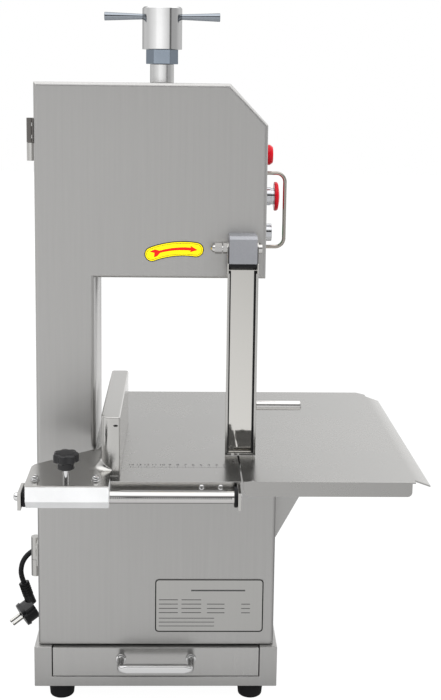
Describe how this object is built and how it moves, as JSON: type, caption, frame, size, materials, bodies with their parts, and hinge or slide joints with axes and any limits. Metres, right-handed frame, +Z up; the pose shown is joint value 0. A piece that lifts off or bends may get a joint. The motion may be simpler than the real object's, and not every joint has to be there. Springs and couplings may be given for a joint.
{
  "type": "table-top bone saw",
  "caption": "Stainless table-top band saw for bone and frozen meat, with a C-shaped cabinet, a hinged door, a sliding fence, a swinging blade guard and a dust drawer.",
  "frame": {"origin": "middle of the outer box of the saw without its cord, on the surface that the feet stand on", "axes": "+X to the right as the user sees it, +Y to the rear, +Z up; the user stands at -Y"},
  "size_m": [0.5764, 0.5594, 0.9496],
  "materials": {
    "stainless_brushed": "brushed",
    "stainless_satin": "satin",
    "stainless_polished": "polished",
    "steel_shaft": "ground",
    "band_steel": "rolled",
    "hinge_steel": "dark satin",
    "cast_wheel": "machined",
    "grey_block": "satin",
    "motor_paint": "satin",
    "white_plastic": "matt",
    "black_plastic": "satin",
    "black_rubber": "matt",
    "cord_black": "satin",
    "pin_nickel": "plated",
    "red_plastic": "gloss",
    "green_plastic": "gloss",
    "plate_silver": "satin",
    "label_yellow": "satin"
  },
  "bodies": {
    "frame": {"frame_shell": "stainless_brushed", "plinth": "stainless_brushed", "feet": "black_rubber", "drawer_runners": "stainless_brushed", "table": "stainless_satin", "table_gussets": "stainless_brushed", "rail_brackets": "stainless_satin", "guide_rod": "stainless_polished", "rod_stop_rings": "black_rubber", "rod_end_screws": "stainless_polished", "frame_hinges": "stainless_brushed", "guide_tube": "stainless_polished", "carriage_guides": "cast_wheel", "motor": "motor_paint", "motor_cover": "stainless_brushed", "drive_housing": "cast_wheel", "saw_band": "band_steel", "upper_blade_guide": "grey_block", "lower_blade_guide": "grey_block", "band_wipers": "white_plastic", "signal_lamp": "red_plastic", "stop_collar": "stainless_polished", "start_bezel": "stainless_polished", "button_loop": "stainless_polished", "interlock_switch": "black_plastic", "table_screws": "stainless_polished", "cord_gland": "cord_black", "cord_lead": "cord_black", "cord_coil": "cord_black", "cord_tail": "cord_black", "plug_body": "cord_black", "plug_pins": "pin_nickel"},
    "door": {"door_panel": "stainless_brushed", "door_hinges": "hinge_steel", "interlock_key": "black_plastic", "guard_block": "grey_block", "guard_pivot": "stainless_polished", "rating_plate": "plate_silver", "arrow_label": "label_yellow"},
    "guard": {"guard_channel": "stainless_polished", "guard_grip": "stainless_polished"},
    "carriage": {"wheel_carriage": "cast_wheel", "upper_axle": "steel_shaft"},
    "idler": {"upper_wheel": "cast_wheel", "upper_bearings": "steel_shaft"},
    "drive": {"drive_wheel": "cast_wheel", "drive_shaft": "steel_shaft"},
    "tension_handle": {"tension_screw": "steel_shaft", "handle_hub": "stainless_polished", "handle_bars": "stainless_polished"},
    "tension_nut": {"lock_nut": "stainless_polished"},
    "fence_carriage": {"fence_slider": "white_plastic", "fence": "stainless_satin", "slider_screws": "stainless_polished"},
    "clamp_knob": {"fence_knob": "black_plastic"},
    "drawer": {"drawer_tray": "stainless_brushed", "drawer_handle": "stainless_polished"},
    "stop": {"stop_button": "red_plastic"},
    "start": {"start_button": "green_plastic"}
  },
  "joints": [
    {"name": "door_swing", "type": "hinge", "parent": "frame", "child": "door", "pos_m": [-0.25245, -0.03025, 0.478], "axis": [0, 0, -1], "range_deg": [0, 110]},
    {"name": "guard_swing", "type": "hinge", "parent": "door", "child": "guard", "pos_m": [0.02515, -0.07675, 0.637], "axis": [-1, 0, 0], "range_deg": [0, 110]},
    {"name": "tension_turn", "type": "hinge", "parent": "frame", "child": "tension_handle", "pos_m": [-0.08255, 0.03975, 0.9], "axis": [0, 0, 1], "range_deg": [0, 2160]},
    {"name": "carriage_slide", "type": "slide", "parent": "frame", "child": "carriage", "axis": [0, 0, 1], "range_m": [-0.012, 0]},
    {"name": "nut_turn", "type": "hinge", "parent": "frame", "child": "tension_nut", "pos_m": [-0.08255, 0.03975, 0.883], "axis": [0, 0, 1], "range_deg": [0, 90]},
    {"name": "drive_spin", "type": "hinge", "parent": "frame", "child": "drive", "pos_m": [-0.08255, -0.01175, 0.223], "axis": [0, 1, 0], "continuous": true},
    {"name": "idler_spin", "type": "hinge", "parent": "carriage", "child": "idler", "pos_m": [-0.08255, -0.01175, 0.71813], "axis": [0, 1, 0], "continuous": true},
    {"name": "fence_slide", "type": "slide", "parent": "frame", "child": "fence_carriage", "axis": [1, 0, 0], "range_m": [0, 0.13]},
    {"name": "knob_turn", "type": "hinge", "parent": "fence_carriage", "child": "clamp_knob", "pos_m": [-0.19205, -0.20175, 0.38], "axis": [0, 0, 1], "range_deg": [0, 360]},
    {"name": "drawer_slide", "type": "slide", "parent": "frame", "child": "drawer", "axis": [0, -1, 0], "range_m": [0, 0.21]},
    {"name": "stop_press", "type": "slide", "parent": "frame", "child": "stop", "axis": [-1, 0, 0], "range_m": [0, 0.004], "stiffness_N_per_m": 2500},
    {"name": "start_press", "type": "slide", "parent": "frame", "child": "start", "axis": [-1, 0, 0], "range_m": [0, 0.0025], "stiffness_N_per_m": 1500}
  ],
  "couplings": [
    {"joint": "carriage_slide", "follows": "tension_turn", "m_per_rad": -0.0003183},
    {"joint": "idler_spin", "follows": "drive_spin", "ratio": 1}
  ]
}
